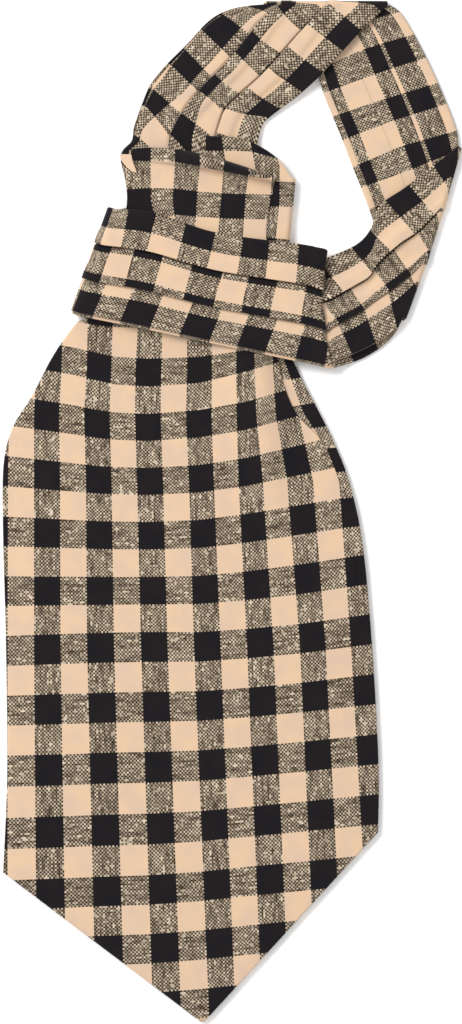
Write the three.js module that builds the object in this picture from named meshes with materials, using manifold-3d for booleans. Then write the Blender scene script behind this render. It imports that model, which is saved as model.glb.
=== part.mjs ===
// A laid-out ascot tie: one long strip of woven cotton with a broad pointed blade at each end
// and a narrow pleated neck band between them. The strip lies on a table, tied in a simple
// overhand knot, so that the band forms an open neck loop and the two blades lie one on the other.
// Millimetres. +Y runs from the point of the blade to the top of the neck loop, +Z is up.
// The origin is on the table, under the middle of the outline.

import * as THREE from 'three';
import { mergeVertices } from 'three/addons/utils/BufferGeometryUtils.js';
import Module from 'manifold-3d';

// Driving dimensions.
const BAND_WALL = 2.0; // folded cloth of the neck band, its layers pressed flat
const BLADE_WALL = 1.6; // the front blade, two layers of cloth
const BACK_WALL = 1.4; // the back blade, pressed under the front one
const PLEAT_RISE = 0.9; // how far the folded edge of a pleat stands above the next strip
const PLEAT_REACH = 0.13; // how far a pleat reaches under its strip, as a share of the width

// Heights above the table of the layers of the knot, to the middle of each layer.
const ON_TABLE = BAND_WALL / 2;
const OVER_ONE = 3.5; // a layer of the band that crosses another one
const TAIL_LEVEL = 3.3; // the back of the knot, over the hidden wrap
const BLADE_BED = 4.65; // underside of the front blade inside the knot
const CROSS_LEVEL = 7.6; // the cross band on top of the knot
const BLADE_REST = 1.75; // underside of the front blade where it lies on the back one

// The two pleats run along the band, at these shares of its width from edge a to edge b.
const PLEATS = [0.33, 0.665];
const STEP_WIDTH = 0.014;
const ACROSS = [
  0, 0.16, PLEATS[0] - STEP_WIDTH, PLEATS[0], PLEATS[0] + PLEAT_REACH, 0.56,
  PLEATS[1] - STEP_WIDTH, PLEATS[1], PLEATS[1] + PLEAT_REACH, 0.9, 1,
];

// The neck band, from the knot round the loop and back through the knot. Every row is a section
// across the strip: edge a (ax, ay), edge b (bx, by), the heights za and zb of its mid surface
// at those edges, bow, how far it arches to the right on the way from a to b, and pleat, the
// share of PLEAT_RISE that shows there.
const TAIL_AND_LEFT_LIMB = [
  { ax: -43, ay: 74, bx: 4, by: 74, za: ON_TABLE, zb: ON_TABLE, bow: 0, pleat: 0 },
  { ax: -43, ay: 82.5, bx: 5, by: 82.5, za: TAIL_LEVEL, zb: TAIL_LEVEL, bow: 0, pleat: 0 },
  { ax: -44, ay: 105, bx: 7, by: 103, za: TAIL_LEVEL, zb: TAIL_LEVEL, bow: 0, pleat: 0 },
  { ax: -43.8, ay: 134, bx: 9, by: 127, za: TAIL_LEVEL, zb: TAIL_LEVEL, bow: 0, pleat: 0 },
  { ax: -44.5, ay: 148, bx: 10, by: 141.5, za: 3.2, zb: 3.2, bow: 0, pleat: 0.1 },
  { ax: -41, ay: 162, bx: 10, by: 152, za: 2.2, zb: 2.2, bow: 0, pleat: 0.7 },
  { ax: -34, ay: 180, bx: 13.5, by: 164, za: 1.2, zb: 1.3, bow: 0, pleat: 1 },
  { ax: -19.5, ay: 196, bx: 27, by: 174.5, za: 1.2, zb: 2.4, bow: 0, pleat: 1 },
  { ax: -10, ay: 205, bx: 35.5, by: 182, za: 1.7, zb: OVER_ONE, bow: 0, pleat: 1 },
  { ax: -2.5, ay: 209.2, bx: 43.5, by: 190.5, za: 3.1, zb: 3.6, bow: 0, pleat: 0.9 },
  { ax: 5.5, ay: 211.2, bx: 54, by: 202, za: 3.4, zb: 3.6, bow: 0, pleat: 0.6 },
  { ax: 14, ay: 211.8, bx: 65, by: 211.8, za: OVER_ONE, zb: OVER_ONE, bow: 0, pleat: 0.2 },
];
const RIGHT_LIMB = [
  { ax: 14, ay: 211.8, bx: 65, by: 211.8, za: ON_TABLE, zb: ON_TABLE, bow: 0, pleat: 0 },
  { ax: 25.5, ay: 196, bx: 76.5, by: 202.5, za: ON_TABLE, zb: ON_TABLE, bow: 0, pleat: 0 },
  { ax: 36, ay: 181.5, bx: 82.5, by: 190, za: ON_TABLE, zb: ON_TABLE, bow: 0, pleat: 0 },
  { ax: 42.5, ay: 169, bx: 89, by: 176, za: ON_TABLE, zb: ON_TABLE, bow: 0, pleat: 0 },
  { ax: 52, ay: 144.5, bx: 94, by: 162, za: ON_TABLE, zb: ON_TABLE, bow: 0, pleat: 0 },
  { ax: 62, ay: 116, bx: 94, by: 157.2, za: ON_TABLE, zb: ON_TABLE, bow: 1, pleat: 0 },
  { ax: 72.3, ay: 80, bx: 94, by: 153.5, za: ON_TABLE, zb: ON_TABLE, bow: 2.2, pleat: 0 },
];
const LOWER_LIMB = [
  { ax: 72.3, ay: 80, bx: 94, by: 153.5, za: OVER_ONE, zb: OVER_ONE, bow: 2.2, pleat: 0.2 },
  { ax: 69.8, ay: 75.6, bx: 83.5, by: 144.5, za: OVER_ONE, zb: OVER_ONE, bow: 1, pleat: 0.7 },
  { ax: 66.5, ay: 72, bx: 72.5, by: 136, za: 3.0, zb: OVER_ONE, bow: 0.3, pleat: 1 },
  { ax: 62, ay: 68.6, bx: 62, by: 128.5, za: 2.4, zb: OVER_ONE, bow: 0, pleat: 1 },
  { ax: 56, ay: 65.1, bx: 58.5, by: 119, za: 2.4, zb: 3.4, bow: 0, pleat: 1 },
  { ax: 50.5, ay: 62.9, bx: 52.5, by: 112.3, za: 3.4, zb: 3.6, bow: 0, pleat: 1 },
  { ax: 44.5, ay: 61.0, bx: 41.5, by: 107.3, za: 5.4, zb: 4.2, bow: 0, pleat: 1 },
];
const CROSS_BAND = [
  { ax: 41.5, ay: 60.3, bx: 39.5, by: 110, za: 6.4, zb: 6.9, bow: 0, pleat: 1 },
  { ax: 28, ay: 63.2, bx: 28, by: 112.3, za: CROSS_LEVEL, zb: CROSS_LEVEL, bow: 0, pleat: 1 },
  { ax: -8.5, ay: 70.6, bx: -6.5, by: 117, za: CROSS_LEVEL, zb: CROSS_LEVEL, bow: 0, pleat: 1 },
  { ax: -37, ay: 76.5, bx: -33, by: 125.4, za: CROSS_LEVEL, zb: CROSS_LEVEL, bow: 0, pleat: 1 },
  { ax: -62, ay: 81.3, bx: -48.4, by: 127, za: CROSS_LEVEL, zb: CROSS_LEVEL, bow: 0, pleat: 1 },
];
const HIDDEN_WRAP = [
  { ax: -62, ay: 81.8, bx: -48.4, by: 127, za: ON_TABLE, zb: ON_TABLE, bow: 0, pleat: 0 },
  { ax: -47, ay: 84, bx: -36, by: 129.5, za: ON_TABLE, zb: ON_TABLE, bow: 0, pleat: 0 },
  { ax: -20, ay: 87.3, bx: -17, by: 133, za: ON_TABLE, zb: ON_TABLE, bow: 0, pleat: 0 },
];
// The same strip goes on beyond the middle of the knot as part of the front blade.
const RISING_WRAP = [
  { ax: -19.6, ay: 87.4, bx: -16.6, by: 133.1, za: ON_TABLE, zb: ON_TABLE, bow: 0, pleat: 0 },
  { ax: -3, ay: 93, bx: 0, by: 137.5, za: ON_TABLE, zb: ON_TABLE, bow: 0, pleat: 0 },
  { ax: 12.5, ay: 104, bx: 13, by: 140, za: ON_TABLE, zb: ON_TABLE, bow: 0, pleat: 0 },
  { ax: 22, ay: 113.5, bx: 22.5, by: 138, za: ON_TABLE, zb: ON_TABLE, bow: 0, pleat: 0 },
];

// The blades. Every row is a section across the blade: left edge (ax, ay), right edge (bx, by),
// the height z of its underside, bow, how far the section arches towards +Y, and tuck, how far
// the right margin drops below the soft fold beside it.
const FRONT_BLADE = [
  { ax: -43.5, ay: 147.5, bx: 25, by: 140.5, z: BLADE_BED, bow: 14, tuck: 0 },
  { ax: -43.8, ay: 145, bx: 25.2, by: 136, z: 6.4, bow: 10, tuck: 0 },
  { ax: -44, ay: 139, bx: 25.2, by: 128.5, z: 5.3, bow: 4, tuck: 0 },
  { ax: -45, ay: 131, bx: 24.8, by: 119, z: BLADE_BED, bow: 0, tuck: 0 },
  { ax: -52.5, ay: 108, bx: 25, by: 98, z: BLADE_BED, bow: 0, tuck: 0 },
  { ax: -60.5, ay: 83.5, bx: 26, by: 71, z: BLADE_BED, bow: 0, tuck: 0.2 },
  { ax: -65.5, ay: 79.3, bx: 27.5, by: 61, z: 4.5, bow: 0, tuck: 1.2 },
  { ax: -75, ay: 66, bx: 31, by: 54, z: 3.0, bow: 0, tuck: 1.0 },
  { ax: -84.5, ay: 48, bx: 38, by: 40.5, z: 2.2, bow: 0, tuck: 0.35 },
  { ax: -92, ay: 36, bx: 43, by: 29, z: BLADE_REST, bow: 0, tuck: 0 },
  { ax: -96, ay: 20, bx: 49.5, by: 12, z: BLADE_REST, bow: 0, tuck: 0 },
  { ax: -96.2, ay: -10, bx: 55, by: -14, z: BLADE_REST, bow: 0, tuck: 0 },
  { ax: -95, ay: -55, bx: 59, by: -58, z: BLADE_REST, bow: 0, tuck: 0 },
  { ax: -94.5, ay: -110, bx: 61.6, by: -106, z: BLADE_REST, bow: 0, tuck: 0 },
  { ax: -96.2, ay: -151.5, bx: 61.4, by: -134.5, z: BLADE_REST, bow: 0, tuck: 0 },
];
const BACK_BLADE = [
  { ax: -43, ay: 73.6, bx: 4, by: 73.6, z: 0, bow: 0, tuck: 0 },
  { ax: -52, ay: 63, bx: 11, by: 62, z: 0, bow: 0, tuck: 0 },
  { ax: -76.5, ay: 43, bx: 31, by: 42, z: 0, bow: 0, tuck: 0 },
  { ax: -87.5, ay: 24, bx: 43, by: 22, z: 0, bow: 0, tuck: 0 },
  { ax: -91.5, ay: -10, bx: 50, by: -14, z: 0, bow: 0, tuck: 0 },
  { ax: -91, ay: -80, bx: 56, by: -80, z: 0, bow: 0, tuck: 0 },
  { ax: -91.5, ay: -145, bx: 57, by: -129, z: 0, bow: 0, tuck: 0 },
];
const FRONT_TIP = { x: -12.4, y: -214.2 };
const BACK_TIP = { x: -13, y: -203 };
const TIP_WIDTH = 1.6; // the cloth is turned in at the point, so it ends in a small blunt edge
const TUCK_LINE = 0.925; // the soft fold along the right margin, as a share of the width
const BLADE_ACROSS = [0, 0.08, 0.17, 0.26, 0.35, 0.44, 0.53, 0.62, 0.71, 0.79, 0.86, TUCK_LINE, 0.945, 1];
const BOW_SKEW = 1.4; // above 1 the arch of a bowed section peaks right of its middle

const BLACK_AND_CREAM = 0x8d7c66; // the mean colour of the checked cotton
const cloth = () => new THREE.MeshStandardMaterial({ color: BLACK_AND_CREAM, roughness: 0.92, metalness: 0 });

const UP = new THREE.Vector3(0, 0, 1);
const DOWN = new THREE.Vector3(0, 0, -1);

// Values of every column of a table at position k + t, on a Catmull-Rom curve through the rows.
function between(rows, k, t) {
  const row = (i) => rows[Math.min(Math.max(i, 0), rows.length - 1)];
  const blended = {};
  for (const name of Object.keys(rows[0])) {
    const [p, q, r, s] = [row(k - 1)[name], row(k)[name], row(k + 1)[name], row(k + 2)[name]];
    blended[name] =
      0.5 * (2 * q + (r - p) * t + (2 * p - 5 * q + 4 * r - s) * t * t + (3 * q - p - 3 * r + s) * t ** 3);
  }
  return blended;
}

// The sections of a table and those between its rows. face is the way the good side looks.
function refine(rows, steps, face = UP) {
  const sections = [];
  for (let k = 0; k < rows.length - 1; k += 1) {
    for (let i = 0; i < steps; i += 1) sections.push({ ...between(rows, k, i / steps), face });
  }
  sections.push({ ...rows[rows.length - 1], face });
  return sections;
}

// Sections of a half turn of the strip about its own width, from one layer to the layer over or
// under it, with the good side outermost. side is +1 where the strip bulges to the left of the
// direction from edge a to edge b.
function halfTurn(from, to, side, steps) {
  const out = new THREE.Vector3(from.ay - from.by, from.bx - from.ax, 0).setLength(side);
  const sections = [];
  for (let i = 1; i < steps; i += 1) {
    const angle = (Math.PI * i) / steps;
    const share = i / steps;
    const section = {
      bow: THREE.MathUtils.lerp(from.bow, to.bow, share),
      pleat: THREE.MathUtils.lerp(from.pleat, to.pleat, share),
      face: from.face.clone().multiplyScalar(Math.cos(angle)).addScaledVector(out, Math.sin(angle)),
    };
    for (const edge of ['a', 'b']) {
      const [x, y, z] = [`${edge}x`, `${edge}y`, `z${edge}`];
      const radius = (from[z] - to[z]) / 2;
      const reach = Math.abs(radius) * Math.sin(angle);
      section[x] = THREE.MathUtils.lerp(from[x], to[x], share) + out.x * reach;
      section[y] = THREE.MathUtils.lerp(from[y], to[y], share) + out.y * reach;
      section[z] = (from[z] + to[z]) / 2 + radius * Math.cos(angle);
    }
    sections.push(section);
  }
  return sections;
}

// How far the face of a pleated band stands out at share u of its width, from 0 to 1: each
// pleat lies on the strip beside it, highest at its folded edge and flat past its reach.
function pleatHeight(u) {
  for (const line of PLEATS) {
    if (u >= line && u <= line + PLEAT_REACH) return 1 - (u - line) / PLEAT_REACH;
  }
  return 0;
}

// A closed solid between two grids of points of the same size, with its faces pointing out:
// the product of the directions across and along a grid points from the lower to the upper one.
function slab(lower, upper) {
  const [rows, columns] = [lower.length, lower[0].length];
  const layer = rows * columns;
  const positions = [...lower.flat(), ...upper.flat()].flatMap((p) => [p.x, p.y, p.z]);
  const index = [];
  const at = (side, r, c) => side * layer + r * columns + c;
  const quad = (p, q, r, s) => index.push(p, q, r, p, r, s);
  for (let r = 0; r < rows - 1; r += 1) {
    for (let c = 0; c < columns - 1; c += 1) {
      quad(at(1, r, c), at(1, r, c + 1), at(1, r + 1, c + 1), at(1, r + 1, c));
      quad(at(0, r, c), at(0, r + 1, c), at(0, r + 1, c + 1), at(0, r, c + 1));
    }
  }
  for (let r = 0; r < rows - 1; r += 1) {
    quad(at(0, r, 0), at(1, r, 0), at(1, r + 1, 0), at(0, r + 1, 0));
    quad(at(0, r + 1, columns - 1), at(1, r + 1, columns - 1), at(1, r, columns - 1), at(0, r, columns - 1));
  }
  for (let c = 0; c < columns - 1; c += 1) {
    quad(at(0, 0, c + 1), at(1, 0, c + 1), at(1, 0, c), at(0, 0, c));
    quad(at(0, rows - 1, c), at(1, rows - 1, c), at(1, rows - 1, c + 1), at(0, rows - 1, c + 1));
  }
  const geometry = new THREE.BufferGeometry();
  geometry.setAttribute('position', new THREE.Float32BufferAttribute(positions, 3));
  geometry.setIndex(index);
  return geometry;
}

// The band as a solid: its sections carry the cloth's wall to both sides of the mid surface,
// and the pleats stand out on the good side.
function ribbon(sections) {
  const side = (offset) => sections.map((s) => ACROSS.map((u) => {
    const edgeA = new THREE.Vector3(s.ax, s.ay, s.za);
    const edgeB = new THREE.Vector3(s.bx, s.by, s.zb);
    const right = new THREE.Vector3(s.by - s.ay, s.ax - s.bx, 0).setLength(s.bow * Math.sin(Math.PI * u));
    return edgeA.lerp(edgeB, u).add(right).addScaledVector(s.face, offset(s.pleat * pleatHeight(u)));
  }));
  return slab(side(() => -BAND_WALL / 2), side((height) => BAND_WALL / 2 + PLEAT_RISE * height));
}

// A blade as a solid of even wall, its point closed by straight edges down to the tip.
function blade(rows, tip, wall, steps) {
  const last = rows[rows.length - 1];
  const end = {
    ...last, ax: tip.x - TIP_WIDTH / 2, ay: tip.y, bx: tip.x + TIP_WIDTH / 2, by: tip.y,
  };
  const pointed = [0.2, 0.4, 0.6, 0.8, 1].map((share) => {
    const row = { ...last };
    for (const name of ['ax', 'ay', 'bx', 'by']) row[name] = THREE.MathUtils.lerp(last[name], end[name], share);
    return row;
  });
  const sections = [...refine(rows, steps), ...pointed];
  const surface = (lift) => sections.map((s) => BLADE_ACROSS.map((u) => {
    const x = THREE.MathUtils.lerp(s.ax, s.bx, u);
    const y = THREE.MathUtils.lerp(s.ay, s.by, u) + s.bow * Math.sin(Math.PI * u ** BOW_SKEW);
    const z = s.z - (u > TUCK_LINE ? s.tuck : 0) + lift;
    return new THREE.Vector3(x, y, z);
  }));
  return slab(surface(wall), surface(0));
}

const wasm = await Module();
wasm.setup();

function toSolid(geometry) {
  const merged = mergeVertices(geometry, 1e-4);
  return new wasm.Manifold(new wasm.Mesh({
    numProp: 3,
    vertProperties: new Float32Array(merged.attributes.position.array),
    triVerts: new Uint32Array(merged.index.array),
  }));
}

function toGeometry(solid) {
  const mesh = solid.getMesh();
  const geometry = new THREE.BufferGeometry();
  geometry.setAttribute('position', new THREE.Float32BufferAttribute(mesh.vertProperties, 3));
  geometry.setIndex([...mesh.triVerts]);
  return geometry;
}

// The band turns under at the top of the loop, back over itself at the right, and under the
// knot at the left.
function neckBand() {
  const left = refine(TAIL_AND_LEFT_LIMB, 3);
  const right = refine(RIGHT_LIMB, 2, DOWN);
  const lower = refine(LOWER_LIMB, 3);
  const cross = refine(CROSS_BAND, 3);
  const wrap = refine(HIDDEN_WRAP, 2, DOWN);
  return ribbon([
    ...left, ...halfTurn(left.at(-1), right[0], 1, 6),
    ...right, ...halfTurn(right.at(-1), lower[0], -1, 6),
    ...lower,
    ...cross, ...halfTurn(cross.at(-1), wrap[0], 1, 8),
    ...wrap,
  ]);
}

// The strip comes out from under the knot, turns up beside it and runs on as the blade that
// covers the knot and falls in front.
function frontBlade() {
  const wrap = refine(RISING_WRAP, 2, DOWN);
  const start = wrap.at(-1);
  const landing = { ...start, face: UP, za: BLADE_BED + BLADE_WALL / 2, zb: BLADE_BED + BLADE_WALL / 2 };
  const inside = { ...landing, ax: start.ax - 4, bx: start.bx - 4 };
  const rising = ribbon([...wrap, ...halfTurn(start, landing, -1, 8), landing, inside]);
  return toGeometry(toSolid(blade(FRONT_BLADE, FRONT_TIP, BLADE_WALL, 2)).add(toSolid(rising)));
}

function piece(name, geometry) {
  const mesh = new THREE.Mesh(geometry, cloth());
  mesh.name = name;
  geometry.computeVertexNormals();
  return mesh;
}

const ascot = new THREE.Group();
ascot.add(piece('neck_band', neckBand()));
ascot.add(piece('front_blade', frontBlade()));
ascot.add(piece('back_blade', blade(BACK_BLADE, BACK_TIP, BACK_WALL, 2)));

export default ascot;
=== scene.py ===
"""An ascot tie of checked cotton, laid on a pale table and tied in a plain overhand knot.

The tie is one strip: a neck band folded to three pleated widths, with a broad pointed blade at
each end. Sizes are in millimetres until a mesh is made. +Y runs from the point of the front
blade to the top of the neck loop, +Z is up, and the origin is on the table.
"""

import logging
import math
from dataclasses import dataclass, field
from enum import Enum
from typing import Callable, NamedTuple

import bmesh
import bpy
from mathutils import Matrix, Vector, noise


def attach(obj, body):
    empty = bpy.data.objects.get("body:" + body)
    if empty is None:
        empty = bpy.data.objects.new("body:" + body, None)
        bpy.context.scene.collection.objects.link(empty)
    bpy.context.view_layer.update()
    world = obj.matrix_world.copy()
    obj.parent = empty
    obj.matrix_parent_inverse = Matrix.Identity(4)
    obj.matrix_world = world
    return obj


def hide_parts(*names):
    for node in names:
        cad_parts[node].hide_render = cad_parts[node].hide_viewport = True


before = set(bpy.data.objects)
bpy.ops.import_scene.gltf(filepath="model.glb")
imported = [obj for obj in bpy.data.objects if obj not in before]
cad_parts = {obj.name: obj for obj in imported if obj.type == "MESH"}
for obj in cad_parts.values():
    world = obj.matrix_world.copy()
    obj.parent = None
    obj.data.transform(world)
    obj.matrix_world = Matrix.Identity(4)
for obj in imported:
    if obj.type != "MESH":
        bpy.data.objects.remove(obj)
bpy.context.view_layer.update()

LOG = logging.getLogger("ascot")
MM = 0.001
PIXEL = 0.42  # millimetres of table in one pixel of the photograph
PICTURE_HEIGHT = 1024
PICTURE_ORIGIN = (232.0, 512.0)  # the pixel over the origin

CHECK_MAP = "check"  # UV map that counts squares: across the strip in U, along it in V

SAME_POINT = 0.02  # points of a mesh that lie closer than this are merged
TURN_PRESS = 0.4  # how much flatter the cloth is in the middle of a turn

Place = tuple[float, float]  # across and along, or along a section and over it
Pair = tuple[float, float]  # two ends or limits


def on_table(place: Place) -> Vector:
    """Turns a pixel of the photograph into a place on the table.

    Args:
        place: x and y in pixels, from the picture's upper left corner.

    Returns:
        The place in millimetres.
    """
    x, y = place
    return Vector(((x - PICTURE_ORIGIN[0]) * PIXEL, (PICTURE_ORIGIN[1] - y) * PIXEL))


def mix(first: float, second: float, share: float) -> float:
    """Returns the value at a share of the way from first to second."""
    return first + (second - first) * share


def ramp(value: float, low: float, high: float) -> float:
    """Returns 0 below low, 1 above high, and an even S curve between them."""
    share = min(max((value - low) / (high - low), 0.0), 1.0)
    return share * share * (3.0 - 2.0 * share)


def linear(hex_colour: str) -> tuple[float, float, float, float]:
    """Turns an sRGB hex colour into a linear one.

    Args:
        hex_colour: the colour, such as "#eccdaf".

    Returns:
        Red, green, blue and alpha.
    """
    parts = [int(hex_colour[i : i + 2], 16) / 255.0 for i in (1, 3, 5)]
    red, green, blue = (c / 12.92 if c <= 0.04045 else ((c + 0.055) / 1.055) ** 2.4 for c in parts)
    return red, green, blue, 1.0


class Limb(Enum):
    """The stretches of the neck band, in order from one end to the other."""

    LEFT = "left side of the neck loop, good side up"
    RIGHT = "right side of the neck loop, reverse up"
    LOWER = "from the loop's right end down to the knot"
    TUCK = "the fold beside the knot"
    CROSS = "across the front of the knot"
    WRAP = "behind the knot"


class Row(NamedTuple):
    """A section across the neck band, from its edge a to its edge b."""

    ax: float
    ay: float
    bx: float
    by: float
    za: float  # height of the mid surface at edge a
    zb: float
    bow: float = 0.0  # how far the section arches to the right on the way from a to b
    pleat: float = 0.0  # how far the pleats stand up, from 0 to 1
    peek: float = 1.0  # how far the back layer shows beyond the front one at edge a
    first: float = 0.335  # where the first pleat ends, as a share of the width from edge b
    second: float = 0.67  # and the second one
    press: float = 1.0  # how thick the section is, 1 where nothing presses it flat
    opened: float = 0.0  # how far the second pleat has come open, from 0 to 1
    stand: float = 1.0  # how far the edge of the first pleat stands up
    droop: float = 0.0  # how far the back layer's rim hangs down at edge a

    def place(self, share: float) -> Vector:
        """Finds a point of the mid surface.

        Args:
            share: how far across the strip it is, from edge b.

        Returns:
            The point in millimetres.
        """
        spot = Vector((self.bx, self.by, self.zb)).lerp(Vector((self.ax, self.ay, self.za)), share)
        right = Vector((self.by - self.ay, self.ax - self.bx, 0.0)).normalized()
        return spot + right * (self.bow * math.sin(math.pi * share))

    @property
    def width(self) -> float:
        """The distance between the edges, seen from above."""
        return math.hypot(self.bx - self.ax, self.by - self.ay)


class BladeRow(NamedTuple):
    """A section across a blade, from its left edge a to its right edge b."""

    ax: float
    ay: float
    bx: float
    by: float
    z: float  # height of the underside
    bow: float = 0.0  # how far the section arches towards +Y
    ridge: float = 8.0  # how far the soft fold lies from the right edge
    tuck: float = 0.0  # cloth hidden in each layer of that fold
    thick: float = 1.6  # both layers together
    lift: float = 0.0  # how much higher the soft roll stands
    early: float = 0.0

    @property
    def width(self) -> float:
        """The distance between the edges, seen from above."""
        return math.hypot(self.bx - self.ax, self.by - self.ay)


class Knot(NamedTuple):
    """One point of a cross section of folded cloth."""

    along: float  # from the section's first edge, in millimetres
    height: float  # from the mid surface, on the good side
    count: float  # squares of the check, across the strip
    strip: int = 0  # which visible strip of the cloth the point is on
    share: float = 0.0  # how far across that strip it is


def curve_between(rows: list[Row] | list[BladeRow], index: int, share: float) -> list[float]:
    """Finds the values between two rows, on a Catmull-Rom curve through all of them.

    Args:
        rows: the rows in order.
        index: the row before the place.
        share: how far the place is on the way to the next row.

    Returns:
        The values, in the order of a row's fields.
    """
    last = len(rows) - 1
    near = (rows[min(max(index + step, 0), last)] for step in (-1, 0, 1, 2))
    square, cube = share**2, share**3
    weights = (
        2 * square - share - cube,
        2 - 5 * square + 3 * cube,
        share + 4 * square - 3 * cube,
        cube - square,
    )
    return [sum(w * value for w, value in zip(weights, values)) / 2 for values in zip(*near)]


def between(rows: list[Row], steps: int) -> list[Row]:
    """Fills in the rows between the given ones, on a smooth curve through them.

    Args:
        rows: the rows given.
        steps: how many sections there are from each of them to the next.

    Returns:
        All the rows, with the last one given.
    """
    made = []
    for index in range(len(rows) - 1):
        made += [Row(*curve_between(rows, index, step / steps)) for step in range(steps)]
    return made + [rows[-1]]


def half_turn(one: Row, two: Row, side: float, steps: int) -> list[Row]:
    """Turns a strip over, from one layer to the layer over or under it.

    Args:
        one: the last section before the fold.
        two: the first section after it.
        side: +1 where the strip bulges to the left of the way from edge a to edge b.
        steps: sections in the turn, counting the second end.

    Returns:
        The sections between the two, pressed flatter in the middle of the turn.
    """
    out = Vector((one.ay - one.by, one.bx - one.ax)).normalized() * side
    rows = []
    for i in range(1, steps):
        share = i / steps
        angle = math.pi * share
        values = {name: mix(getattr(one, name), getattr(two, name), share) for name in Row._fields}
        for edge in "ab":
            radius = (getattr(one, f"z{edge}") - getattr(two, f"z{edge}")) / 2
            reach = abs(radius) * math.sin(angle)
            values[f"{edge}x"] += out.x * reach
            values[f"{edge}y"] += out.y * reach
            values[f"z{edge}"] = getattr(two, f"z{edge}") + radius + radius * math.cos(angle)
        values["press"] *= 1.0 - TURN_PRESS * math.sin(angle)
        rows.append(Row(**values))
    return rows


def raised(rows: list[Row], index: int, share: float, height: float) -> Vector:
    """Returns a point at a height over the mid surface of a strip, on its good side.

    Args:
        rows: the strip's sections.
        index: the section the point is on.
        share: how far across it is, from edge b.
        height: how high over the mid surface it is.

    Returns:
        The point in millimetres.
    """
    before, after = rows[max(index - 1, 0)], rows[min(index + 1, len(rows) - 1)]
    row = rows[index]
    across = Vector((row.ax - row.bx, row.ay - row.by, row.za - row.zb))
    good_side = (after.place(share) - before.place(share)).cross(across).normalized()
    return row.place(share) + good_side * height


def inset(angle: float) -> float:
    """Returns how far in from a round edge its outline is, at an angle in degrees."""
    return 1 - math.cos(math.radians(angle))


def rounded(angle: float) -> float:
    """Returns the height of a full, soft edge at an angle in degrees, from -1 to 1."""
    return math.copysign(abs(math.sin(math.radians(angle))) ** 0.8, angle)


def spread(
    points: list[Place], counts: Pair, strip: int = 0, shares: Pair = (0.0, 0.0)
) -> list[Knot]:
    """Turns points along a strip into knots, with its counts spread evenly along it.

    Args:
        points: distances from the section's first edge, and heights.
        counts: the squares at the two ends.
        strip: which visible strip it is.
        shares: how far across that strip the two ends are.

    Returns:
        One knot for each point.
    """
    first, last = points[0][0], points[-1][0]
    knots = []
    for along, height in points:
        done = (along - first) / (last - first)
        knots.append(Knot(along, height, mix(*counts, done), strip, mix(*shares, done)))
    return knots


def reading(line: tuple[Place, ...], share: float) -> Vector:
    """Finds a place on a short line given in pixels.

    Args:
        line: the pixels that the line goes through, spaced evenly along it.
        share: how far along the line the place is.

    Returns:
        The place in millimetres.
    """
    spans = len(line) - 1
    index = min(int(share * spans), spans - 1)
    return on_table(line[index]).lerp(on_table(line[index + 1]), share * spans - index)


@dataclass(frozen=True)
class WeftRuler:
    """Counts squares along a strip, from lines seen between its squares in the photograph.

    Attributes:
        first: the count of the first line.
        lines: for each line, the pixels where it meets the strip's two sides.
        step: squares from one line to the next.
    """

    first: int
    lines: tuple[tuple[Place, ...], ...]
    step: int = 1

    def column(self, share: float) -> list[tuple[float, Vector]]:
        """Returns the counts and places of all lines at one share of the strip's width."""
        places = (reading(line, share) for line in self.lines)
        return [(self.first + self.step * i, place) for i, place in enumerate(places)]

    @staticmethod
    def count(column: list[tuple[float, Vector]], place: Vector) -> float:
        """Returns the count at a place, on the run of lines nearest to it.

        Args:
            column: what column() gives for the place's share of the width.
            place: where to read, in millimetres.

        Returns:
            The squares counted to there.
        """
        best, nearest = column[0][0], math.inf
        last = len(column) - 2
        for index, ((first, start), (second, end)) in enumerate(zip(column, column[1:])):
            step = end - start
            share = (place - start).dot(step) / step.length_squared
            low = -math.inf if index == 0 else 0.0
            high = math.inf if index == last else 1.0
            kept = min(max(share, low), high)
            away = (place - (start + step * kept)).length
            if away < nearest:
                best, nearest = mix(first, second, kept), away
        return best


@dataclass(frozen=True)
class CheckGrid:
    """Attributes:
        warp_counts: the counts of the warp lines.
        warp: rows of a y pixel and the x pixel of every warp line there.
        weft_pixels: the x pixels at which the weft lines are given.
        weft: rows of a count and the y pixels of that line.
    """

    warp_counts: tuple[float, ...]
    warp: tuple[tuple[float, tuple[float, ...]], ...]
    weft_pixels: tuple[float, ...]
    weft: tuple[tuple[float, tuple[float, ...]], ...]

    @staticmethod
    def along(keys: tuple[float, ...], values: tuple[float, ...], key: float) -> float:
        """Reads a value, straight between the keys and beyond their ends.

        Args:
            keys: the keys in rising order.
            values: the value at each of them.
            key: where to read.

        Returns:
            The value there.
        """
        index = 0
        while index < len(keys) - 2 and key > keys[index + 1]:
            index += 1
        share = (key - keys[index]) / (keys[index + 1] - keys[index])
        return mix(values[index], values[index + 1], share)

    def counts(self, x: float, y: float) -> Pair:
        """Counts the squares at a place.

        Args:
            x: the place, in millimetres.
            y: the same.

        Returns:
            The squares counted across and along.
        """
        px, py = x / PIXEL + PICTURE_ORIGIN[0], PICTURE_ORIGIN[1] - y / PIXEL
        levels = tuple(level for level, _ in self.warp)
        columns = zip(*(pixels for _, pixels in self.warp))
        lines = tuple(self.along(levels, column, py) for column in columns)
        rows = tuple(self.along(self.weft_pixels, pixels, px) for _, pixels in self.weft)
        return (
            self.along(lines, self.warp_counts, px),
            self.along(rows, tuple(count for count, _ in self.weft), py),
        )


class Station(NamedTuple):
    """A section of the neck band in its place."""

    row: Row
    limb: Limb  # whose ruler and squares it has
    onto: Limb  # the limb it turns into, at a fold
    turned: float = 0.0  # how much of that turn is done


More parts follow.
